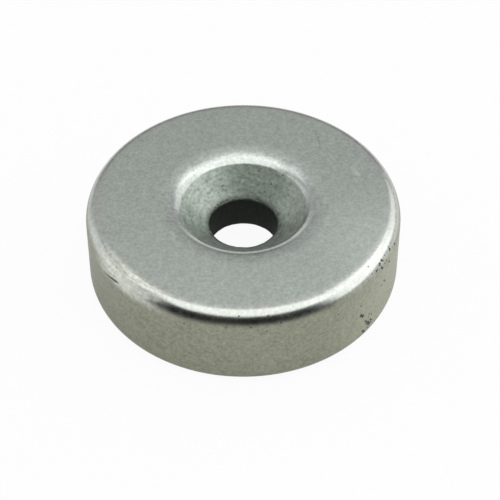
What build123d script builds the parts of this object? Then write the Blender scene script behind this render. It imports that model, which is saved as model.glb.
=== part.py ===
from build123d import *

import math
import os

# Countersunk ring magnet: a thick plated ring, pressed and sintered as one piece, with a
# screw hole that is countersunk from both faces, so that either pole can face out.
#
# Frame: the origin is the centre of the lower face, and +Z runs up the hole.
# Millimetres and degrees throughout. The ring is the same above and below its middle plane.

# Driving dimensions
OUTER_DIAMETER = 20.0
THICKNESS = 6.0
OUTER_EDGE_RADIUS = 1.0  # corners rolled round in the tumbling barrel

SCREW_HOLE_DIAMETER = 4.3  # clears an M4 screw
HOLE_EDGE_RADIUS = 0.35  # where the straight hole opens into the cone

COUNTERSINK_ANGLE = 104.0  # included angle of the cone under the screw's head
COUNTERSINK_DIAMETER = 8.0  # across the rim at the top of the cone
RIM_RADIUS = 0.12  # the rim is only just broken

SHOULDER_DIAMETER = 11.0  # across the circle where a face starts to roll off towards the hole
SHOULDER_RADIUS = 3.0
SHOULDER_SLOPE = 20.0  # the roll-off ends in this shallow slope, which runs on to the rim

def upper_half_section():
    """The ring's section above its middle plane, in a frame whose origin is the ring's centre."""
    outer_reach = OUTER_DIAMETER / 2
    hole_reach = SCREW_HOLE_DIAMETER / 2
    rim_reach = COUNTERSINK_DIAMETER / 2
    face_height = THICKNESS / 2
    shoulder_fall = math.tan(math.radians(SHOULDER_SLOPE))
    cone_fall = math.tan(math.radians(90 - COUNTERSINK_ANGLE / 2))

    with BuildSketch() as section:
        with BuildLine():
            wall = Line((outer_reach, 0), (outer_reach, face_height - OUTER_EDGE_RADIUS))
            outer_edge = JernArc(wall @ 1, (0, 1), OUTER_EDGE_RADIUS, 90)
            face = Line(outer_edge @ 1, (SHOULDER_DIAMETER / 2, face_height))
            roll_off = JernArc(face @ 1, (-1, 0), SHOULDER_RADIUS, SHOULDER_SLOPE)
            shoulder_end = roll_off @ 1
            rim = Vector(rim_reach, shoulder_end.Y - (shoulder_end.X - rim_reach) * shoulder_fall)
            hole_edge = Vector(hole_reach, rim.Y - (rim_reach - hole_reach) * cone_fall)
            Polyline(shoulder_end, rim, hole_edge, (hole_reach, 0), wall @ 0)
        make_face()
        for corner, radius in ((rim, RIM_RADIUS), (hole_edge, HOLE_EDGE_RADIUS)):
            fillet(section.vertices().sort_by_distance(corner)[0], radius)
    return section.sketch

def ring_magnet():
    """The whole magnet: the half section, its mirror image below, turned once round the hole."""
    ring_centre = Plane(origin=(0, 0, THICKNESS / 2), x_dir=(1, 0, 0), z_dir=(0, -1, 0))
    upper = upper_half_section()
    section = ring_centre * (upper + mirror(upper, about=Plane.XZ))
    return revolve(section, axis=Axis.Z)

def main():
    """Builds the ring and writes it as one STEP file."""
    os.makedirs("parts", exist_ok=True)
    export_step(ring_magnet(), "parts/ring_magnet.step")

main()
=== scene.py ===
"""Looks of a countersunk ring magnet: its body with its pores and knocks, its plate, and a plain studio.

Sizes are in metres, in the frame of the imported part: the origin is the centre of the lower face, and +Z runs
up the screw hole. A bearing is in degrees round the hole, from -Y (the front) towards +X (the right). A fade
is a pair of values: something is absent at the first, and whole at the second.
"""

import logging
import math
from dataclasses import dataclass
from enum import Enum

import bpy
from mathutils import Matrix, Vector


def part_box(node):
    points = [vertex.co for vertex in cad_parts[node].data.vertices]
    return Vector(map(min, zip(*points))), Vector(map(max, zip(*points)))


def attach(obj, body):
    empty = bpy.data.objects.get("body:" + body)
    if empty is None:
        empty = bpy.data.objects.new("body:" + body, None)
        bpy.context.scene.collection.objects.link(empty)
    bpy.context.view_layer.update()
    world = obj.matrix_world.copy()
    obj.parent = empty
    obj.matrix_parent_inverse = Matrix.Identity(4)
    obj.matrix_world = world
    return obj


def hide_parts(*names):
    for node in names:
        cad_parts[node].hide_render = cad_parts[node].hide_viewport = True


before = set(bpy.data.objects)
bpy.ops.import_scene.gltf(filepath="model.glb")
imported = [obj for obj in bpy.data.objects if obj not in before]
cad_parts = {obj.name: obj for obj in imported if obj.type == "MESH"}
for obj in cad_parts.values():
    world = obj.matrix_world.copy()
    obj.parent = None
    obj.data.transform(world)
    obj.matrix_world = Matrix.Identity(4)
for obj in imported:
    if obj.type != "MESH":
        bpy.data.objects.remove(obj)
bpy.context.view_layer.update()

LOG = logging.getLogger("ring_magnet")
MM = 0.001
NODE = "ring_magnet"
BODY = "root"

Fade = tuple[float, float]
Socket = bpy.types.NodeSocket


def around(bearing: float, reach: float, height: float) -> Vector:
    """A point of the ring's frame.

    Args:
        bearing: Degrees from the front towards the right.
        reach: Distance from the hole's axis.
        height: Height above the lower face.

    Returns:
        The point.
    """
    turn = math.radians(bearing)
    return Vector((reach * math.sin(turn), -reach * math.cos(turn), height))


KNOCK = around(-47.0, 9.85 * MM, 5.50 * MM)  # the middle of the scuffed stretch of the upper corner


@dataclass(frozen=True)
class Clouds:
    """A cloudy pattern: the width of a cloud, how many finer layers it has, and a number that picks it."""

    size: float
    detail: float
    seed: float


@dataclass(frozen=True)
class Streaks:
    """Streaks round the hole: their width, how far one runs in radians, and a number that picks them."""

    width: float
    run: float
    seed: float
    detail: float = 2.0


class NodeBench:
    """Adds nodes to one tree and wires them up."""

    def __init__(self, tree: bpy.types.NodeTree) -> None:
        """Starts with a tree to add to."""
        self.tree = tree

    def add(self, kind: str, inputs: dict | None = None, **settings: object) -> bpy.types.Node:
        """Adds one node.

        Args:
            kind: The node's type.
            inputs: What goes into its sockets, by name or number: a value, or another node's output.
            **settings: The node's own properties.

        Returns:
            The new node.
        """
        node = self.tree.nodes.new(kind)
        for name, value in settings.items():
            setattr(node, name, value)
        for socket, value in (inputs or {}).items():
            if isinstance(value, Socket):
                self.tree.links.new(value, node.inputs[socket])
            else:
                node.inputs[socket].default_value = value
        return node

    def maths(self, operation: str, *values: object) -> Socket:
        """One step of arithmetic on numbers or sockets; gives its result."""
        return self.add("ShaderNodeMath", dict(enumerate(values)), operation=operation).outputs[0]

    def both(self, first: object, second: object) -> Socket:
        """The product of two masks or numbers."""
        return self.maths("MULTIPLY", first, second)

    def vector(self, operation: str, *values: object) -> Socket:
        """One step of arithmetic on vectors; gives its result as a vector."""
        node = self.add("ShaderNodeVectorMath", dict(enumerate(values)), operation=operation)
        return node.outputs["Vector"]

    def measure(self, operation: str, *values: object) -> Socket:
        """One step of arithmetic on vectors that gives a number, such as a length."""
        return self.add("ShaderNodeVectorMath", dict(enumerate(values)), operation=operation).outputs["Value"]

    def scaled(self, vector: object, share: object) -> Socket:
        """A vector times a number."""
        node = self.add("ShaderNodeVectorMath", {0: vector, "Scale": share}, operation="SCALE")
        return node.outputs["Vector"]

    def height(self, where: object) -> Socket:
        """The height of a place."""
        return self.add("ShaderNodeSeparateXYZ", {0: where}).outputs["Z"]

    def flat(self, where: object) -> Socket:
        """A place with its height taken away."""
        return self.vector("MULTIPLY", where, (1.0, 1.0, 0.0))

    def reach(self, where: object) -> Socket:
        """The distance of a place from the hole's axis."""
        return self.measure("LENGTH", self.flat(where))

    def apart(self, value: object, centre: float) -> Socket:
        """How far a value lies from a centre, on either side."""
        return self.maths("ABSOLUTE", self.maths("SUBTRACT", value, centre))

    def step(self, value: object, fade: Fade, base: float = 0.0) -> Socket:
        """A smooth step: 0 where value is at the fade's first end, and 1 where it is at its second.

        Args:
            value: The socket to read.
            fade: The two ends, of which either may be the lower one.
            base: What both ends are counted from.

        Returns:
            The step's height.
        """
        start, end = base + fade[0], base + fade[1]
        low, high = min(start, end), max(start, end)
        ends = (0.0, 1.0) if end > start else (1.0, 0.0)
        inputs = {"Value": value, "From Min": low, "From Max": high, "To Min": ends[0], "To Max": ends[1]}
        return self.add("ShaderNodeMapRange", inputs, interpolation_type="SMOOTHSTEP").outputs["Result"]

    def near(self, where: object, point: Vector, fade: Fade) -> Socket:
        """A mask round a point, by the distance from it."""
        return self.step(self.measure("DISTANCE", where, tuple(point)), fade)

    def facing(
        self, where: object, bearing: float, least: float = 0.0, fade: Fade = (0.12, 0.70)
    ) -> Socket:
        """A mask that is whole on the side of the hole that a bearing points to.

        Args:
            where: The socket with the place.
            bearing: The bearing.
            least: What the mask falls to on the other sides.
            fade: Where it fades, as the cosine of the angle from the bearing.

        Returns:
            The mask.
        """
        along = self.measure("DOT_PRODUCT", where, tuple(around(bearing, 1.0, 0.0)))
        share = self.step(self.maths("DIVIDE", along, self.reach(where)), fade)
        return self.maths("MULTIPLY_ADD", share, 1.0 - least, least)

    def clouds(self, where: object, clouds: Clouds, seed: object = 0.0) -> Socket:
        """A cloudy pattern, from 0 to 1, about 0.5.

        Args:
            where: The socket with the place.
            clouds: What the clouds are like.
            seed: A number that is added to their own.

        Returns:
            The pattern's value.
        """
        pick = self.maths("ADD", seed, clouds.seed)
        inputs = {"Vector": where, "W": pick, "Scale": 1.0 / clouds.size, "Detail": clouds.detail}
        return self.add("ShaderNodeTexNoise", inputs, noise_dimensions="4D").outputs[0]

    def streaks(self, where: object, streaks: Streaks, seed: object = 0.0) -> Socket:
        """A pattern of streaks that run round the hole, from 0 to 1, about 0.5.

        Args:
            where: The socket with the place.
            streaks: What the streaks are like.
            seed: A number that is added to their own.

        Returns:
            The pattern's value.
        """
        turn = self.add("ShaderNodeSeparateXYZ", {0: self.vector("NORMALIZE", self.flat(where))}).outputs
        east, north = (self.both(turn[axis], streaks.width / streaks.run) for axis in ("X", "Y"))
        spot = self.add("ShaderNodeCombineXYZ", {0: self.reach(where), 1: east, 2: north}).outputs[0]
        pick = self.maths("ADD", self.height(where), self.maths("ADD", seed, streaks.seed))
        return self.clouds(spot, Clouds(streaks.width, streaks.detail, 0.0), pick)


class MaterialBench(NodeBench):
    """Adds nodes to a new material."""

    def __init__(self, name: str) -> None:
        """Starts with the material's tree, emptied."""
        self.material = bpy.data.materials.new(name)
        self.material.use_nodes = True
        self.material.node_tree.nodes.clear()
        super().__init__(self.material.node_tree)

    def finish(self, shader: bpy.types.Node) -> bpy.types.Material:
        """Gives the material its surface, and hands it over."""
        self.add("ShaderNodeOutputMaterial", {"Surface": shader.outputs[0]})
        return self.material


def put(name: str, data: bpy.types.ID) -> bpy.types.Object:
    """Puts an object with the given data into the scene."""
    item = bpy.data.objects.new(name, data)
    bpy.context.scene.collection.objects.link(item)
    return item


def put_mesh(name: str, points: list, faces: list) -> bpy.types.Object:
    """Puts a mesh with the given points and faces into the scene."""
    mesh = bpy.data.meshes.new(name)
    mesh.from_pydata(points, [], faces)
    return put(name, mesh)


@dataclass(frozen=True)
class RingSizes:
    """The ring's sizes, with slopes in degrees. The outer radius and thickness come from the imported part."""

    outer_radius: float
    thickness: float
    crown_drop: float = 0.035 * MM
    edge_ease_radius: float = 3.0 * MM
    edge_ease_slope: float = 9.0
    edge_radius: float = 0.98 * MM
    shoulder_reach: float = 5.5 * MM
    shoulder_radius: float = 3.0 * MM
    shoulder_slope: float = 20.5
    rim_radius: float = 1.55 * MM
    cone_slope: float = 38.0
    hole_radius: float = 2.15 * MM
    lip_radius: float = 0.35 * MM

    @property
    def middle(self) -> float:
        """The height of the middle plane, and of a face above it."""
        return self.thickness / 2

    @property
    def rim_reach(self) -> float:
        """Where the rounded rim ends and the cone begins."""
        slopes = math.sin(math.radians(self.shoulder_slope)), math.sin(math.radians(self.cone_slope))
        roll = self.shoulder_radius * slopes[0]
        return self.shoulder_reach - roll - self.rim_radius * (slopes[1] - slopes[0])

    @property
    def ease_reach(self) -> float:
        """Where the nearly flat face ends and the eased edge begins."""
        turn = math.sin(math.radians(self.edge_ease_slope))
        return self.outer_radius - self.edge_radius * (1 - turn) - self.edge_ease_radius * turn


@dataclass(frozen=True)
class SectionSteps:
    """How many steps each stretch of the section is drawn in."""

    wall: int = 5
    edge: int = 18
    ease: int = 7
    face: int = 9
    shoulder: int = 12
    rim: int = 9
    cone: int = 15
    lip: int = 8
    hole: int = 4


class SectionPen:
    """Draws the ring's section as a run of points, in reach and height above the middle plane."""

    OUTWARD = 0.0
    UPWARD = 90.0
    INWARD = 180.0

    def __init__(self, start: tuple[float, float]) -> None:
        """Puts the pen down at its first point."""
        self.points = [start]

    def line(self, end: tuple[float, float], steps: int) -> None:
        """Draws a straight line in equal steps.

        Args:
            end: The line's last point.
            steps: How many steps it is drawn in.
        """
        first = self.points[-1]
        for step in range(1, steps + 1):
            share = step / steps
            self.points.append(tuple(a + (b - a) * share for a, b in zip(first, end)))

    def bend(self, radius: float, start: float, end: float, steps: int) -> None:
        """Draws an arc on from the last point, with the metal inside it.

        Args:
            radius: The arc's radius.
            start: The way that the metal faces at its first point, in degrees up from outward.
            end: The way that it faces at its last point.
            steps: How many steps it is drawn in.
        """
        turn = math.radians(start)
        reach, height = self.points[-1]
        centre = (reach - radius * math.cos(turn), height - radius * math.sin(turn))
        for step in range(1, steps + 1):
            turn = math.radians(start + (end - start) * step / steps)
            self.points.append((centre[0] + radius * math.cos(turn), centre[1] + radius * math.sin(turn)))

    def crown(self, end: float, top: float, steps: int) -> None:
        """Draws a very shallow parabola inwards, which is level at its end.

        Args:
            end: The reach of its last point.
            top: The height of its last point.
            steps: How many steps it is drawn in.
        """
        reach, height = self.points[-1]
        for step in range(1, steps + 1):
            share = 1 - step / steps
            self.points.append((end + (reach - end) * share, top - (top - height) * share ** 2))


def half_section(sizes: RingSizes, steps: SectionSteps) -> list[tuple[float, float]]:
    """The section above the middle plane, from the wall over the face and down the hole.

    Args:
        sizes: The ring's sizes.
        steps: How finely it is drawn.

    Returns:
        Points in reach and height above the middle plane, without the one in the middle of the hole.
    """
    up = SectionPen.UPWARD
    ease, ease_turn = sizes.edge_ease_radius, up - sizes.edge_ease_slope
    crown_slope = math.degrees(2 * sizes.crown_drop / (sizes.ease_reach - sizes.shoulder_reach))
    crown_turn = up - crown_slope
    drop = sizes.edge_radius * math.sin(math.radians(ease_turn))
    drop += ease * (math.sin(math.radians(crown_turn)) - math.sin(math.radians(ease_turn)))
    pen = SectionPen((sizes.outer_radius, 0.0))
    pen.line((sizes.outer_radius, sizes.middle - sizes.crown_drop - drop), steps.wall)
    pen.bend(sizes.edge_radius, SectionPen.OUTWARD, ease_turn, steps.edge)
    pen.bend(ease, ease_turn, crown_turn, steps.ease)
    pen.crown(sizes.shoulder_reach, sizes.middle, steps.face)
    pen.bend(sizes.shoulder_radius, up, up + sizes.shoulder_slope, steps.shoulder)
    pen.bend(sizes.rim_radius, up + sizes.shoulder_slope, up + sizes.cone_slope, steps.rim)

    fall = math.radians(sizes.cone_slope)
    rim = pen.points[-1]
    lip_start = sizes.hole_radius + sizes.lip_radius * (1 - math.sin(fall))
    pen.line((lip_start, rim[1] - (rim[0] - lip_start) * math.tan(fall)), steps.cone)
    pen.bend(sizes.lip_radius, up + sizes.cone_slope, SectionPen.INWARD, steps.lip)
    pen.line((sizes.hole_radius, 0.0), steps.hole)
    return pen.points[:-1]


def nearest_on(outline: list[tuple[float, float]], place: tuple[float, float]) -> tuple[float, float]:
    """The point of a section's outline that lies nearest to a place.

    Args:
        outline: The outline's points, in reach and height above the middle plane.
        place: The place, in the same way. Below the middle plane its height is negative.

    Returns:
        The nearest point, on the same side of the middle plane.
    """
    wanted = Vector((place[0], abs(place[1])))
    found = []
    for first, second in zip(outline, outline[1:]):
        start, run = Vector(first), Vector(second) - Vector(first)
        share = min(max((wanted - start).dot(run) / run.length_squared, 0.0), 1.0)
        found.append(start + run * share)
    best = min(found, key=lambda point: (point - wanted).length)
    return best.x, math.copysign(best.y, place[1])


@dataclass(frozen=True)
class Pore:
    """A pore of the sintered metal that has come through the plate.

    Its bearing is in degrees. Its reach, its height and its width are in millimetres. The place is a rough
    one, and the pore opens at the point of the skin that lies nearest to it.
    """

    bearing: float
    reach: float
    height: float
    across: float


@dataclass(frozen=True)
class Slit:
    """A short dark slit, cut as a row of pores that run into each other.

    Its ends are a bearing, a reach and a height each, and it is as wide as across, as in a pore.
    """

    start: tuple[float, float, float]
    end: tuple[float, float, float]
    across: float
    count: int
    end_share: float = 0.45
    lean: float = 1.5

    def pores(self) -> list[Pore]:
        """The row of pores, thinner towards its ends and thickest past its middle.

        Returns:
            The pores, from the start to the end.
        """
        row = []
        for step in range(self.count):
            share = step / (self.count - 1)
            place = (first + (last - first) * share for first, last in zip(self.start, self.end))
            swell = math.sin(math.pi * share ** self.lean)
            row.append(Pore(*place, self.across * (self.end_share + (1 - self.end_share) * swell)))
        return row


CORNER_PORES = (
    Pore(71.5, 9.92, 5.32, 0.18), Pore(67.4, 9.81, 5.51, 0.19), Pore(66.9, 9.84, 5.46, 0.14),
    Pore(67.5, 9.69, 5.65, 0.09), Pore(63.0, 9.73, 5.61, 0.10), Pore(60.4, 9.75, 5.58, 0.17),
    Pore(60.9, 9.82, 5.50, 0.13), Pore(62.7, 9.92, 5.31, 0.11), Pore(64.8, 10.0, 4.88, 0.19),
    Pore(64.3, 10.0, 4.97, 0.15), Pore(58.7, 9.79, 5.54, 0.17), Pore(61.3, 9.94, 5.26, 0.11),
    Pore(58.3, 9.83, 5.48, 0.13), Pore(58.8, 9.94, 5.28, 0.18), Pore(59.3, 9.97, 5.16, 0.16),
    Pore(55.6, 9.87, 5.41, 0.15), Pore(56.4, 9.87, 5.41, 0.11), Pore(53.1, 9.82, 5.49, 0.11),
    Pore(63.6, 10.0, 4.74, 0.10), Pore(53.7, 9.45, 5.81, 0.09), Pore(69.3, 9.90, 5.43, 0.09),
    Pore(50.2, 9.90, 5.42, 0.09),
)
WALL_PORES = (
    Pore(61.2, 10.0, 3.78, 0.18), Pore(62.0, 10.0, 3.60, 0.15), Pore(58.9, 10.0, 3.71, 0.14),
    Pore(68.4, 10.0, 1.78, 0.14), Pore(53.9, 10.0, 2.98, 0.10), Pore(50.7, 10.0, 4.41, 0.10),
    Pore(46.2, 10.0, 3.69, 0.13), Pore(46.6, 10.0, 2.79, 0.26), Pore(47.5, 10.0, 2.59, 0.25),
    Pore(51.7, 10.0, 2.21, 0.13), Pore(53.1, 10.0, 1.95, 0.12), Pore(51.1, 10.0, 2.04, 0.12),
    Pore(52.6, 10.0, 1.59, 0.18), Pore(53.3, 10.0, 1.42, 0.15), Pore(49.9, 10.0, 1.74, 0.22),
    Pore(50.9, 10.0, 1.49, 0.30), Pore(51.8, 10.0, 1.29, 0.24), Pore(52.6, 10.0, 1.33, 0.17),
    Pore(49.3, 10.0, 1.90, 0.15), Pore(48.1, 10.0, 1.15, 0.23), Pore(48.9, 10.0, 0.95, 0.20),
    Pore(50.8, 10.0, 1.10, 0.14), Pore(35.1, 10.0, 4.35, 0.12), Pore(13.0, 9.96, 5.28, 0.12),
    Pore(2.5, 10.0, 5.15, 0.12), Pore(8.0, 10.0, 4.75, 0.11), Pore(-6.0, 10.0, 5.12, 0.10),
    Pore(-1.7, 9.57, 5.73, 0.10), Pore(8.8, 9.62, 5.70, 0.11), Pore(-21.0, 10.0, 4.85, 0.10),
    Pore(128.0, 10.0, 3.60, 0.20), Pore(128.8, 10.0, 3.42, 0.17), Pore(131.5, 10.0, 3.10, 0.15),
    Pore(169.0, 9.90, 5.40, 0.16), Pore(-112.0, 10.0, 2.20, 0.18), Pore(-115.5, 10.0, 2.60, 0.13),
    Pore(-158.0, 10.0, 4.40, 0.14),
)
CONE_PORES = (
    Pore(164.4, 3.70, 5.31, 0.13), Pore(145.7, 3.25, 4.96, 0.12), Pore(150.1, 2.73, 4.56, 0.12),
    Pore(72.4, 3.50, 5.16, 0.15), Pore(-125.0, 3.50, 5.16, 0.11), Pore(176.4, 3.93, 5.50, 0.10),
    Pore(139.3, 3.91, 5.48, 0.10), Pore(-164.5, 3.45, 5.11, 0.08), Pore(-176.2, 3.12, 4.86, 0.09),
    Pore(168.4, 2.83, 4.64, 0.09), Pore(-153.1, 3.04, 4.80, 0.08), Pore(124.0, 3.48, 5.14, 0.09),
    Pore(-126.5, 2.28, 4.18, 0.12), Pore(-133.5, 2.30, 4.20, 0.14),
)
CORNER_SLIT = Slit(start=(-58.7, 10.0, 4.95), end=(-50.0, 9.94, 5.26), across=0.17, count=24)


@dataclass(frozen=True)
class Rub:
    """A rub or scratch on the upper face: a short line between two places, each a bearing and a reach.

    Reaches and the width are in millimetres. A positive shade lightens the plate; a negative one darkens it.
    """

    start: tuple[float, float]
    end: tuple[float, float]
    width: float
    shade: float


@dataclass(frozen=True)
class Rubs:
    """The rubs of the upper face, and how they break up and fade out to their sides."""

    lines: tuple[Rub, ...] = (
        Rub((148.3, 8.72), (144.7, 8.23), 0.09, -0.12),
        Rub((144.7, 8.23), (141.1, 7.86), 0.10, -0.24),
        Rub((141.1, 7.86), (134.5, 7.04), 0.10, -0.22),
        Rub((113.8, 7.69), (109.0, 7.76), 0.24, 0.22),
        Rub((109.0, 7.76), (105.0, 7.88), 0.17, 0.16),
        Rub((137.2, 6.72), (139.5, 5.60), 0.10, 0.14),
        Rub((-60.5, 5.45), (-57.0, 5.20), 0.22, 0.20),
        Rub((-57.0, 5.20), (-53.0, 5.30), 0.16, 0.14),
        Rub((60.9, 8.10), (60.9, 8.04), 0.14, -0.26),
    )
    breaks: Clouds = Clouds(0.20 * MM, 2.0, 11.0)
    break_fade: Fade = (0.30, 0.60)
    core_share: float = 0.25

    def shade(self, bench: NodeBench, place: object, face_height: float) -> Socket:
        """How much the rubs lighten or darken a place.

        Args:
            bench: Where the nodes go.
            place: The socket with the place.
            face_height: The height of the upper face.

        Returns:
            The sum of the rubs' shades.
        """
        total = 0.0
        for rub in self.lines:
            start, end = (around(turn, reach * MM, face_height) for turn, reach in (rub.start, rub.end))
            run = end - start
            away = bench.vector("SUBTRACT", place, tuple(start))
            along = bench.measure("DOT_PRODUCT", away, tuple(run / run.length_squared))
            along = bench.add("ShaderNodeClamp", {0: along}).outputs[0]
            gap = bench.measure("DISTANCE", away, bench.scaled(tuple(run), along))
            mark = bench.step(gap, (rub.width * MM, rub.width * MM * self.core_share))
            total = bench.maths("MULTIPLY_ADD", mark, rub.shade, total)
        broken = bench.step(bench.clouds(place, self.breaks), self.break_fade)
        return bench.both(total, broken)


class Finish(Enum):
    """The finishes of the ring."""

    PLATE = "nickel_plate"
    PORE = "open_pore"


@dataclass(frozen=True)
class Zone:
    """The plate in one part of the ring: its colour, roughness, grain and streaks."""

    colour: tuple[float, float, float]
    roughness: float
    grain: float
    streaks: float = 0.0

    def values(self) -> tuple:
        """The zone's values, in the order in which they are blended."""
        return (*self.colour, 1.0), self.roughness, self.grain, self.streaks


@dataclass(frozen=True)
class ZoneFades:
    """Where the zones of the plate fade in, out from the radius or height that each is counted from."""

    shoulder_from_rim: Fade = (1.30 * MM, 0.50 * MM)
    # The band of painted highlight just outside the rim, by its distance from the rim
    painted_highlight_from_rim: float = 0.24 * MM
    painted_highlight: Fade = (0.24 * MM, 0.08 * MM)
    corner_from_outside: Fade = (-1.25 * MM, -0.85 * MM)
    wall_from_outside: Fade = (-0.25 * MM, -0.02 * MM)
    knock: Fade = (4.2 * MM, 1.0 * MM)
    knock_from_middle: Fade = (1.55 * MM, 2.30 * MM)
    cone_from_rim: Fade = (0.02 * MM, -0.08 * MM)
    # How the painted shade on the far side of the cone fades, by distance from its middle
    painted_cone_shade: Fade = (4.2 * MM, 0.7 * MM)
    hole_from_bore: Fade = (0.45 * MM, 0.20 * MM)
    hole_from_middle: Fade = (1.50 * MM, 0.92 * MM)


@dataclass(frozen=True)
class PlateFinish:
    """Satin nickel plate: tumbled smooth outside, dull and streaky in the countersinks, with painted shade in
    the hole.
    """

    face: Zone = Zone((0.530, 0.580, 0.530), 0.26, 0.64)
    shoulder: Zone = Zone((0.500, 0.538, 0.505), 0.24, 0.75, 0.35)
    # Painted highlight: a bright colour round the rim, whole on the front side and faint elsewhere
    rim: Zone = Zone((0.780, 0.820, 0.770), 0.22, 0.50, 0.40)
    corner: Zone = Zone((0.560, 0.590, 0.550), 0.25, 0.50)
    worn: Zone = Zone((0.600, 0.620, 0.560), 0.30, 0.90, 1.00)
    # Partly painted shade: the wall's colour is darkened and tinted olive to stand for the shaded floor that
    # it reflects; its higher roughness is its duller finish
    wall: Zone = Zone((0.342, 0.352, 0.278), 0.38, 0.90)
    cone: Zone = Zone((0.372, 0.418, 0.372), 0.50, 1.10, 0.80)
    # Painted shade: a near-black colour down the screw hole, for the shade there
    hole: Zone = Zone((0.062, 0.070, 0.062), 0.55, 0.80)
    # Painted shade: a darker colour on the far side of the cone, towards the bore
    painted_cone_shade: Zone = Zone((0.195, 0.226, 0.195), 0.55, 1.20, 0.80)
    fades: ZoneFades = ZoneFades()
    rubs: Rubs = Rubs()
    grain: Clouds = Clouds(0.20 * MM, 2.0, 1.0)
    mottle: Clouds = Clouds(0.50 * MM, 3.0, 2.0)
    broad: Clouds = Clouds(2.5 * MM, 2.0, 3.0)
    streaks: Streaks = Streaks(0.16 * MM, 0.21, 9.0)
    mottle_share: float = 0.55
    broad_depth: float = 0.10
    roughness_depth: float = 0.16
    bump_depth: float = 0.007 * MM
    # Where the rim's painted highlight is whole, and what it falls to on the other sides
    painted_highlight_bearing: float = 6.0
    painted_highlight_least: float = 0.06
    # The middle of the painted shade on the far side of the cone
    painted_cone_shade_place: tuple[float, float, float] = (166.0, 3.2 * MM, 5.1 * MM)
    # Painted light: the plate is made lighter round a point low on the wall at the right, reaching the face's
    # edge there too
    painted_light_place: tuple[float, float, float] = (68.0, 10.0 * MM, 1.8 * MM)
    painted_light_fade: Fade = (7.5 * MM, 2.0 * MM)
    painted_light_gain: float = 0.31

    def dress(self, sizes: RingSizes) -> bpy.types.Material:
        """Makes the material.

        Args:
            sizes: The ring's sizes, which tell its zones apart.

        Returns:
            The finished material.
        """
        bench = MaterialBench(Finish.PLATE.value)
        place = bench.add("ShaderNodeTexCoord").outputs["Object"]
        colour, roughness, grain_depth, streak_depth = self._zones(bench, place, sizes)
        grain, mottle, broad = (
            bench.maths("SUBTRACT", bench.clouds(place, clouds), 0.5)
            for clouds in (self.grain, self.mottle, self.broad)
        )
        streaks = bench.maths("SUBTRACT", bench.streaks(place, self.streaks), 0.5)
        # The painted light on the right of the wall
        painted_light = bench.near(place, around(*self.painted_light_place), self.painted_light_fade)

        mix = bench.maths("MULTIPLY_ADD", mottle, self.mottle_share, grain)
        shade = bench.maths("MULTIPLY_ADD", mix, grain_depth, 1.0)
        shade = bench.maths("MULTIPLY_ADD", streaks, streak_depth, shade)
        shade = bench.maths("MULTIPLY_ADD", broad, self.broad_depth, shade)
        shade = bench.maths("ADD", shade, self.rubs.shade(bench, place, sizes.thickness))
        shade = bench.maths("MULTIPLY_ADD", painted_light, self.painted_light_gain, shade)
        roughness = bench.maths("MULTIPLY_ADD", mottle, self.roughness_depth, roughness)

        height = bench.both(mix, bench.both(grain_depth, grain_depth))
        bump_inputs = {"Strength": 1.0, "Distance": self.bump_depth, "Height": height}
        shader_inputs = {
            "Base Color": bench.scaled(colour, shade),
            "Roughness": roughness,
            "Normal": bench.add("ShaderNodeBump", bump_inputs).outputs[0],
            "Metallic": 1.0,
        }
        shader = bench.add("ShaderNodeBsdfPrincipled", shader_inputs)
        return bench.finish(shader)

    def _masks(self, bench: NodeBench, place: object, sizes: RingSizes) -> list[tuple[Zone, Socket]]:
        """Where each zone lies, by reach from the axis and height from the middle plane.

        Args:
            bench: Where the nodes go.
            place: The socket with the place.
            sizes: The ring's sizes.

        Returns:
            Each zone with its mask, in the order in which they cover each other.
        """
        fades, rim, outside = self.fades, sizes.rim_reach, sizes.outer_radius
        reach = bench.reach(place)
        level = bench.apart(bench.height(place), sizes.middle)
        corner = bench.step(reach, fades.corner_from_outside, outside)
        knocked = bench.both(bench.near(place, KNOCK, fades.knock), corner)
        cone = bench.step(reach, fades.cone_from_rim, rim)
        painted_highlight = bench.step(bench.apart(reach, rim + fades.painted_highlight_from_rim), fades.painted_highlight)
        in_bore = bench.step(reach, fades.hole_from_bore, sizes.hole_radius)
        return [
            (self.shoulder, bench.step(reach, fades.shoulder_from_rim, rim)),
            # The rim's painted highlight
            (self.rim, bench.both(painted_highlight, bench.facing(place, self.painted_highlight_bearing, self.painted_highlight_least))),
            (self.corner, corner),
            (self.wall, bench.step(reach, fades.wall_from_outside, outside)),
            (self.worn, bench.both(knocked, bench.step(level, fades.knock_from_middle))),
            (self.cone, cone),
            # The painted shade on the far side of the cone
            (self.painted_cone_shade, bench.both(cone, bench.near(place, around(*self.painted_cone_shade_place), fades.painted_cone_shade))),
            # Painted shade down the screw hole
            (self.hole, bench.both(in_bore, bench.step(level, fades.hole_from_middle))),
        ]

    def _zones(self, bench: NodeBench, place: object, sizes: RingSizes) -> list:
        """Blends the zones' values over the ring.

        Args:
            bench: Where the nodes go.
            place: The socket with the place.
            sizes: The ring's sizes.

        Returns:
            The blended colour, roughness, grain and streaks.
        """
        blended = list(self.face.values())
        for zone, mask in self._masks(bench, place, sizes):
            for index, value in enumerate(zone.values()):
                # The Mix node has its colour sockets after those for numbers and vectors
                kind, first, result = ("RGBA", 6, 2) if index == 0 else ("FLOAT", 2, 0)
                inputs = {0: mask, first: blended[index], first + 1: value}
                blended[index] = bench.add("ShaderNodeMix", inputs, data_type=kind).outputs[result]
        return blended


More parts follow.
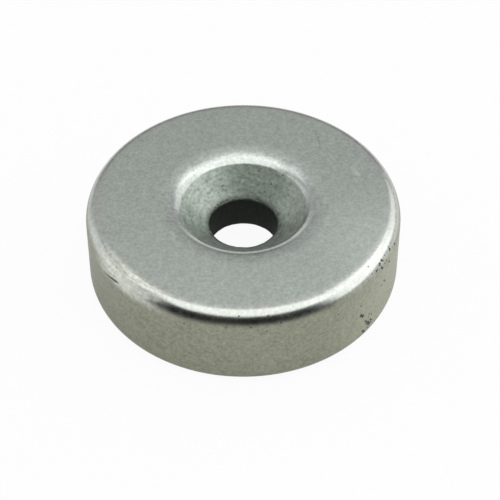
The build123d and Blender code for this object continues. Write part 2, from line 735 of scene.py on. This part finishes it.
@dataclass(frozen=True)
class PoreFinish:
    """The dull sintered metal at the bottom of a pore."""

    colour: tuple[float, float, float] = (0.17, 0.176, 0.152)
    roughness: float = 0.7
    metallic: float = 0.5
    grain: Clouds = Clouds(0.05 * MM, 2.0, 4.0)
    grain_depth: float = 0.8
    grain_base: float = 0.6

    def dress(self) -> bpy.types.Material:
        """Makes the material.

        Returns:
            The finished material.
        """
        bench = MaterialBench(Finish.PORE.value)
        place = bench.add("ShaderNodeTexCoord").outputs["Object"]
        grain = bench.clouds(place, self.grain)
        shade = bench.maths("MULTIPLY_ADD", grain, self.grain_depth, self.grain_base)
        inputs = {
            "Base Color": bench.scaled(self.colour, shade),
            "Roughness": self.roughness,
            "Metallic": self.metallic,
        }
        shader = bench.add("ShaderNodeBsdfPrincipled", inputs)
        return bench.finish(shader)


@dataclass(frozen=True)
class Wear:
    """How the ring departs from its turned shape, how deep and where; all the patterns share one seed."""

    lip_raggedness: float = 0.07 * MM
    cone_lumps: float = 0.030 * MM
    corner_wear: float = 0.040 * MM
    edge_ripple: float = 0.008 * MM
    rim_bead: float = 0.055 * MM
    rim_bead_reach: float = 4.21 * MM
    rim_bead_fade: Fade = (0.18 * MM, 0.0)
    rim_bead_bearing: float = 6.0
    rim_bead_from_middle: Fade = (0.0, 1.0 * MM)
    lip_inner_from_bore: Fade = (0.02 * MM, 0.10 * MM)
    lip_outer_from_bore: Fade = (0.45 * MM, 0.15 * MM)
    cone_inner_from_bore: Fade = (0.15 * MM, 0.50 * MM)
    cone_outer_from_rim: Fade = (-0.02 * MM, -0.25 * MM)
    edge_from_outside: Fade = (-1.0 * MM, -0.7 * MM)
    knock: Fade = (3.6 * MM, 0.8 * MM)
    fine: Clouds = Clouds(0.28 * MM, 2.0, 5.0)
    coarse: Clouds = Clouds(0.55 * MM, 3.0, 6.0)
    scuffs: Streaks = Streaks(0.20 * MM, 0.16, 3.0)
    coarse_fade: Fade = (0.45, 0.75)
    scuff_fade: Fade = (0.35, 0.70)
    seed: int = 7


@dataclass(frozen=True)
class RingMagnet:
    """The magnet: one turned ring, cut by its open pores, in one plate."""

    sizes: RingSizes
    plate: PlateFinish = PlateFinish()
    pore: PoreFinish = PoreFinish()
    wear: Wear = Wear()
    steps: SectionSteps = SectionSteps()
    steps_round: int = 496
    seam_width: float = 1e-7
    sharp_angle: float = 35.0
    ball_radius: float = 0.5
    ball_subdivisions: int = 3
    ball_lumps: Clouds = Clouds(0.12 * MM, 2.0, 8.0)
    ball_lump_depth: float = 0.06 * MM

    def build(self) -> bpy.types.Object:
        """Builds the ring and puts it in the part's place.

        Returns:
            The finished piece.
        """
        materials = {Finish.PLATE: self.plate.dress(self.sizes), Finish.PORE: self.pore.dress()}
        marks = self._pore_marks()
        piece = self._outline_piece()
        values = {
            "Outline Points": len(piece.data.vertices),
            "Steps Round": self.steps_round,
            "Lip Raggedness": self.wear.lip_raggedness,
            "Cone Lumps": self.wear.cone_lumps,
            "Corner Wear": self.wear.corner_wear,
            "Edge Ripple": self.wear.edge_ripple,
            "Rim Bead": self.wear.rim_bead,
            "Seed": self.wear.seed,
            "Pores": marks,
        }
        tree, sockets = self._ring_tree(materials, values)
        modifier = piece.modifiers.new("turned_ring", "NODES")
        modifier.node_group = tree
        for name, value in values.items():
            modifier[sockets[name]] = value
        self._make_plain(piece)
        bpy.data.objects.remove(marks)
        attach(piece, BODY)
        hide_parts(NODE)
        return piece

    def _outline_piece(self) -> bpy.types.Object:
        """Puts the section's outline into the scene, as loose points in an object of its own.

        Returns:
            The object.
        """
        upper = half_section(self.sizes, self.steps)
        hole = (self.sizes.hole_radius, 0.0)
        lower = [(reach, -height) for reach, height in reversed(upper[1:])]
        points = [(reach, 0.0, self.sizes.middle + height) for reach, height in [*upper, hole, *lower]]
        return put_mesh("plated_ring", points, [])

    def _pore_marks(self) -> bpy.types.Object:
        """Marks each pore with a loose point on the skin, which knows the pore's width.

        Returns:
            The object with the points.
        """
        outline, middle = half_section(self.sizes, self.steps), self.sizes.middle
        pores = [*CORNER_PORES, *WALL_PORES, *CONE_PORES, *CORNER_SLIT.pores()]
        places = []
        for pore in pores:
            reach, height = nearest_on(outline, (pore.reach * MM, pore.height * MM - middle))
            places.append(around(pore.bearing, reach, middle + height))
        marks = put_mesh("pore_marks", places, [])
        across = marks.data.attributes.new("across", "FLOAT", "POINT")
        across.data.foreach_set("value", [pore.across * MM for pore in pores])
        return marks

    def _ring_tree(self, materials: dict, values: dict) -> tuple[bpy.types.NodeTree, dict[str, str]]:
        """The nodes that turn the outline into the ring and cut its pores.

        Args:
            materials: The material of each finish.
            values: What each input is going to be given, by its name.

        Returns:
            The tree, and the identifier of each input by its name.
        """
        tree = bpy.data.node_groups.new("turned_ring", "GeometryNodeTree")
        sockets = self._name_inputs(tree, values)
        bench = NodeBench(tree)
        given = bench.add("NodeGroupInput").outputs
        worn = self._press(bench, given, self._turn(bench, given))
        plate, pore = materials[Finish.PLATE], materials[Finish.PORE]
        plated = bench.add("GeometryNodeSetMaterial", {"Geometry": worn, "Material": plate}).outputs[0]
        balls = self._balls(bench, given, pore)
        cut = bench.add("GeometryNodeMeshBoolean", operation="DIFFERENCE", solver="EXACT")
        tree.links.new(plated, cut.inputs["Mesh 1"])
        tree.links.new(balls, cut.inputs["Mesh 2"])
        cut.inputs["Self Intersection"].default_value = True
        smooth = bench.add("GeometryNodeSetShadeSmooth", {"Geometry": cut.outputs["Mesh"]}).outputs[0]
        angle = bench.add("GeometryNodeInputMeshEdgeAngle").outputs["Unsigned Angle"]
        sharp = bench.maths("GREATER_THAN", angle, math.radians(self.sharp_angle))
        crease = {"Geometry": smooth, "Selection": sharp, "Shade Smooth": False}
        creased = bench.add("GeometryNodeSetShadeSmooth", crease, domain="EDGE").outputs[0]
        real = bench.add("GeometryNodeRealizeInstances", {"Geometry": creased}).outputs[0]
        is_pore = bench.add("GeometryNodeMaterialSelection", {"Material": pore}).outputs[0]
        last = {"Geometry": real, "Selection": is_pore, "Material": pore}
        bench.add("NodeGroupOutput", {0: bench.add("GeometryNodeSetMaterial", last).outputs[0]})
        return tree, sockets

    @staticmethod
    def _name_inputs(tree: bpy.types.NodeTree, values: dict) -> dict[str, str]:
        """Gives the tree its inputs and its output.

        Args:
            tree: The tree.
            values: What each input is going to be given, by its name.

        Returns:
            The identifier of each input by its name, apart from the geometry's.
        """
        kinds = {int: "NodeSocketInt", float: "NodeSocketFloat", bpy.types.Object: "NodeSocketObject"}
        face = tree.interface
        face.new_socket("Geometry", in_out="INPUT", socket_type="NodeSocketGeometry")
        sockets = {
            name: face.new_socket(name, in_out="INPUT", socket_type=kinds[type(value)]).identifier
            for name, value in values.items()
        }
        face.new_socket("Geometry", in_out="OUTPUT", socket_type="NodeSocketGeometry")
        return sockets

    def _turn(self, bench: NodeBench, given: object) -> Socket:
        """Turns the outline round the hole's axis, as a grid that closes both ways.

        Args:
            bench: Where the nodes go.
            given: The tree's inputs.

        Returns:
            The ring as turned.
        """
        rows = bench.maths("ADD", given["Outline Points"], 1)
        columns = bench.maths("ADD", given["Steps Round"], 1)
        grid = bench.add("GeometryNodeMeshGrid", {"Vertices X": columns, "Vertices Y": rows}).outputs["Mesh"]
        index = bench.add("GeometryNodeInputIndex").outputs[0]
        column = bench.maths("FLOOR", bench.maths("DIVIDE", bench.maths("ADD", index, 0.5), rows))
        row = bench.maths("SUBTRACT", index, bench.both(column, rows))
        row = bench.maths("MODULO", row, given["Outline Points"])
        place = bench.add("GeometryNodeInputPosition").outputs[0]
        wanted = {"Geometry": given["Geometry"], "Value": place, "Index": row}
        sample = bench.add("GeometryNodeSampleIndex", wanted, data_type="FLOAT_VECTOR").outputs[0]
        point = bench.add("ShaderNodeSeparateXYZ", {0: sample}).outputs
        turn = bench.maths("DIVIDE", bench.both(column, math.tau), given["Steps Round"])
        across = bench.both(point["X"], bench.maths("SINE", turn))
        back = bench.both(point["X"], bench.both(bench.maths("COSINE", turn), -1.0))
        spot = bench.add("ShaderNodeCombineXYZ", {"X": across, "Y": back, "Z": point["Z"]}).outputs[0]
        moved = bench.add("GeometryNodeSetPosition", {"Geometry": grid, "Position": spot}).outputs[0]
        seam = {"Geometry": moved, "Distance": self.seam_width}
        return bench.add("GeometryNodeMergeByDistance", seam).outputs[0]

    def _press(self, bench: NodeBench, given: object, ring: object) -> Socket:
        """Presses the lip, the cones and the knocked corner in a little, and raises the upper rim's bead.

        Args:
            bench: Where the nodes go.
            given: The tree's inputs.
            ring: The ring as turned.

        Returns:
            The ring as worn.
        """
        wear, bore, rim = self.wear, self.sizes.hole_radius, self.sizes.rim_reach
        place = bench.add("GeometryNodeInputPosition").outputs[0]
        normal = bench.add("GeometryNodeInputNormal").outputs[0]
        reach = bench.reach(place)
        lip_inner = bench.step(reach, wear.lip_inner_from_bore, bore)
        on_lip = bench.both(lip_inner, bench.step(reach, wear.lip_outer_from_bore, bore))
        cone_inner = bench.step(reach, wear.cone_inner_from_bore, bore)
        on_cone = bench.both(cone_inner, bench.step(reach, wear.cone_outer_from_rim, rim))
        on_edge = bench.step(reach, wear.edge_from_outside, self.sizes.outer_radius)
        on_knock = bench.both(on_edge, bench.near(place, KNOCK, wear.knock))
        fine = bench.clouds(place, wear.fine, given["Seed"])
        coarse = bench.step(bench.clouds(place, wear.coarse, given["Seed"]), wear.coarse_fade)
        scuffs = bench.step(bench.streaks(place, wear.scuffs, given["Seed"]), wear.scuff_fade)
        depths = (
            (given["Lip Raggedness"], on_lip, coarse),
            (given["Cone Lumps"], on_cone, fine),
            (given["Corner Wear"], on_knock, scuffs),
            (given["Edge Ripple"], on_edge, fine),
        )
        depth = 0.0
        for amount, where, pattern in depths:
            depth = bench.maths("MULTIPLY_ADD", bench.both(amount, where), pattern, depth)
        on_bead = bench.step(bench.apart(reach, wear.rim_bead_reach), wear.rim_bead_fade)
        bead = bench.both(on_bead, bench.facing(place, wear.rim_bead_bearing))
        upper = bench.step(bench.height(place), wear.rim_bead_from_middle, self.sizes.middle)
        bead = bench.both(bench.both(bead, upper), given["Rim Bead"])
        offset = bench.scaled(normal, bench.maths("SUBTRACT", bead, depth))
        return bench.add("GeometryNodeSetPosition", {"Geometry": ring, "Offset": offset}).outputs[0]

    def _balls(self, bench: NodeBench, given: object, material: bpy.types.Material) -> Socket:
        """Puts a small uneven ball on each pore's mark, to cut the pore with.

        Args:
            bench: Where the nodes go.
            given: The tree's inputs.
            material: The material that the cut takes on.

        Returns:
            The balls.
        """
        marks = bench.add("GeometryNodeObjectInfo", {"Object": given["Pores"]}).outputs["Geometry"]
        shape = {"Radius": self.ball_radius, "Subdivisions": self.ball_subdivisions}
        ball = bench.add("GeometryNodeMeshIcoSphere", shape).outputs["Mesh"]
        across = bench.add("GeometryNodeInputNamedAttribute", {"Name": "across"}, data_type="FLOAT")
        spread = {"Points": marks, "Instance": ball, "Scale": across.outputs["Attribute"]}
        balls = bench.add("GeometryNodeInstanceOnPoints", spread).outputs[0]
        real = bench.add("GeometryNodeRealizeInstances", {"Geometry": balls}).outputs[0]
        place = bench.add("GeometryNodeInputPosition").outputs[0]
        normal = bench.add("GeometryNodeInputNormal").outputs[0]
        uneven = bench.clouds(place, self.ball_lumps)
        shift = bench.maths("MULTIPLY_ADD", uneven, self.ball_lump_depth, -self.ball_lump_depth / 2)
        lumpy = {"Geometry": real, "Offset": bench.scaled(normal, shift)}
        moved = bench.add("GeometryNodeSetPosition", lumpy).outputs[0]
        return bench.add("GeometryNodeSetMaterial", {"Geometry": moved, "Material": material}).outputs[0]

    @staticmethod
    def _make_plain(piece: bpy.types.Object) -> None:
        """Turns the modifier's result into the piece's own mesh.

        Args:
            piece: The piece, with its modifier.
        """
        graph = bpy.context.evaluated_depsgraph_get()
        mesh = bpy.data.meshes.new_from_object(piece.evaluated_get(graph), depsgraph=graph)
        piece.modifiers.clear()
        old = piece.data
        piece.data = mesh
        bpy.data.meshes.remove(old)
        mesh.name = piece.name


@dataclass(frozen=True)
class Softbox:
    """A soft lamp: where its middle hangs, which way it faces, its size and its brightness."""

    name: str
    place: tuple[float, float, float]
    facing: tuple[float, float, float]
    width: float
    height: float
    brightness: float

    def hang(self) -> bpy.types.Object:
        """Hangs the lamp.

        Returns:
            The lamp's object.
        """
        lamp = bpy.data.lights.new(self.name, "AREA")
        lamp.shape = "RECTANGLE"
        lamp.size, lamp.size_y = self.width, self.height
        lamp.energy = self.brightness * math.pi * self.width * self.height
        holder = put(self.name, lamp)
        holder.location = self.place
        holder.rotation_euler = Vector(self.facing).to_track_quat("-Z", "Y").to_euler()
        holder.visible_camera = False
        return holder


@dataclass(frozen=True)
class Flag:
    """A curved flag round one side, with soft edges. Only reflections see it.

    Its foot and head fade between two heights each, and its sides between two angles from the bearing that
    it stands at. The outer angle is where it ends.
    """

    name: str
    bearing: float
    reach: float
    foot: Fade
    head: Fade
    spread: Fade
    brightness: float
    steps: int = 36

    def stand(self) -> bpy.types.Object:
        """Stands the flag up.

        Returns:
            The flag's object.
        """
        points, faces = [], []
        for step in range(self.steps + 1):
            bearing = self.bearing + self.spread[0] * (2 * step / self.steps - 1)
            points += [around(bearing, self.reach, height) for height in (self.foot[0], self.head[0])]
            if step:
                faces.append((2 * step - 2, 2 * step, 2 * step + 1, 2 * step - 1))
        flag = put_mesh(self.name, points, faces)
        flag.data.materials.append(self._cloth())
        flag.visible_camera = False
        flag.visible_diffuse = False
        flag.visible_shadow = False
        return flag

    def _cloth(self) -> bpy.types.Material:
        """Makes the dark cloth, which thins out towards its edges.

        Returns:
            The material.
        """
        bench = MaterialBench(self.name + "_cloth")
        place = bench.add("ShaderNodeTexCoord").outputs["Object"]
        height = bench.height(place)
        ahead = bench.measure("DOT_PRODUCT", place, tuple(around(self.bearing, 1.0, 0.0)))
        outer, inner = (self.reach * math.cos(math.radians(angle)) for angle in self.spread)
        weight = bench.both(bench.step(ahead, (outer, inner)), bench.step(height, self.foot))
        weight = bench.both(weight, bench.step(height, self.head))
        clear = bench.add("ShaderNodeBsdfTransparent")
        dark = bench.add("ShaderNodeEmission", {"Strength": self.brightness})
        cloth = bench.add("ShaderNodeMixShader", {0: weight, 1: clear.outputs[0], 2: dark.outputs[0]})
        return bench.finish(cloth)


@dataclass(frozen=True)
class Floor:
    """A plain white floor. Part of its white is its own, so that it stays white down the screw hole."""

    size: float = 0.9
    colour: tuple[float, float, float] = (0.75, 0.75, 0.74)
    own_white: float = 0.94
    mirrored_white: float = 0.12

    def lay(self) -> bpy.types.Object:
        """Lays the floor.

        Returns:
            The floor's object.
        """
        half = self.size / 2
        corners = [(-half, -half, 0.0), (half, -half, 0.0), (half, half, 0.0), (-half, half, 0.0)]
        floor = put_mesh("floor", corners, [(0, 1, 2, 3)])
        floor.data.materials.append(self._paper())
        return floor

    def _paper(self) -> bpy.types.Material:
        """Makes the white paper, which keeps the magnet's shadow.

        Returns:
            The material.
        """
        bench = MaterialBench("floor_paper")
        path = bench.add("ShaderNodeLightPath").outputs
        seen = bench.maths("MAXIMUM", path["Is Camera Ray"], path["Is Transmission Ray"])
        seen = bench.both(seen, self.own_white)
        share = bench.maths("MAXIMUM", seen, bench.both(path["Is Glossy Ray"], self.mirrored_white))
        paper = bench.add("ShaderNodeBsdfDiffuse", {"Color": (*self.colour, 1.0)})
        white = bench.add("ShaderNodeEmission", {"Strength": 1.0})
        mixed = bench.add("ShaderNodeMixShader", {0: share, 1: paper.outputs[0], 2: white.outputs[0]})
        return bench.finish(mixed)


@dataclass(frozen=True)
class Viewpoint:
    """Where the camera stands, with its angles in degrees and its lens in millimetres.

    It would look at the middle of the upper face, but for the drop and the yaw.
    """

    distance: float = 112.8 * MM
    elevation: float = 43.94
    drop: float = 1.557
    yaw: float = 0.30
    focal_length: float = 128.3
    sensor_width: float = 36.0
    clip_start: float = 0.001
    clip_end: float = 10.0

    def place(self, target: Vector) -> bpy.types.Object:
        """Places the camera.

        Args:
            target: The middle of the upper face.

        Returns:
            The camera's object.
        """
        rise = math.radians(self.elevation)
        pitch = -rise - math.radians(self.drop)
        yaw = math.radians(self.yaw)
        look = Vector((math.sin(yaw) * math.cos(pitch), math.cos(yaw) * math.cos(pitch), math.sin(pitch)))
        lens = bpy.data.cameras.new("camera")
        lens.lens = self.focal_length
        lens.sensor_width = self.sensor_width
        lens.clip_start, lens.clip_end = self.clip_start, self.clip_end
        camera = put("camera", lens)
        camera.location = target + Vector((0.0, -math.cos(rise), math.sin(rise))) * self.distance
        camera.rotation_euler = look.to_track_quat("-Z", "Y").to_euler()
        bpy.context.scene.camera = camera
        return camera


DOWN = (0.0, 0.0, -1.0)
LEFTWARD = (-1.0, 0.0, 0.0)
RIGHTWARD = (1.0, 0.0, 0.0)


@dataclass(frozen=True)
class Studio:
    """A plain room: the floor, soft lamps, two flags and the camera."""

    room_brightness: float = 0.53
    softboxes: tuple[Softbox, ...] = (
        Softbox("overhead_softbox", (0.0, -0.048, 0.247), (0.0, 0.148, -0.989), 0.32, 0.248, 1.05),
        Softbox("overhead_right", (0.125, 0.115, 0.247), DOWN, 0.09, 0.08, 1.00),
        Softbox("overhead_left", (-0.125, 0.115, 0.247), DOWN, 0.09, 0.08, 0.80),
        Softbox("right_softbox", (0.20, -0.025, 0.205), LEFTWARD, 0.31, 0.30, 1.00),
        Softbox("right_back_softbox", (0.20, 0.225, 0.115), LEFTWARD, 0.19, 0.16, 0.62),
        Softbox("right_high_softbox", (0.20, 0.186, 0.295), LEFTWARD, 0.12, 0.16, 1.05),
        Softbox("left_softbox", (-0.20, -0.02, 0.10), RIGHTWARD, 0.34, 0.20, 0.44),
        Softbox("back_fill", (0.006, 0.026, 0.066), DOWN, 0.048, 0.060, 0.155),
    )
    flags: tuple[Flag, ...] = (
        Flag(
            "front_flag",
            bearing=-1.5,
            reach=18 * MM,
            foot=(1.5 * MM, 6 * MM),
            head=(21 * MM, 15 * MM),
            spread=(55.0, 38.0),
            brightness=0.010,
        ),
        Flag(
            "back_flag",
            bearing=180.0,
            reach=60 * MM,
            foot=(0.5 * MM, 2 * MM),
            head=(27 * MM, 14 * MM),
            spread=(48.0, 25.0),
            brightness=0.26,
        ),
    )
    floor: Floor = Floor()
    viewpoint: Viewpoint = Viewpoint()

    def set_up(self, top: Vector) -> None:
        """Sets up everything round the magnet.

        Args:
            top: The middle of the magnet's upper face.
        """
        self.floor.lay()
        for flag in self.flags:
            flag.stand()
        for softbox in self.softboxes:
            softbox.hang()
        world = bpy.data.worlds.new("room")
        world.use_nodes = True
        air = world.node_tree.nodes["Background"]
        air.inputs["Color"].default_value = (1.0, 1.0, 1.0, 1.0)
        air.inputs["Strength"].default_value = self.room_brightness
        bpy.context.scene.world = world
        self.viewpoint.place(top)
        bpy.context.scene.view_settings.view_transform = "Standard"


def main() -> None:
    """Builds the magnet, then sets up the studio round it, and logs the piece's triangles."""
    logging.basicConfig(level=logging.INFO)
    low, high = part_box(NODE)
    sizes = RingSizes(outer_radius=(high.x - low.x) / 2, thickness=high.z - low.z)
    piece = RingMagnet(sizes).build()
    piece.data.calc_loop_triangles()
    LOG.info("%s: %d triangles", piece.name, len(piece.data.loop_triangles))
    Studio().set_up(Vector((0.0, 0.0, sizes.thickness)))
    LOG.info("studio: floor, flags, lamps and camera")


if __name__ == "__main__":
    main()
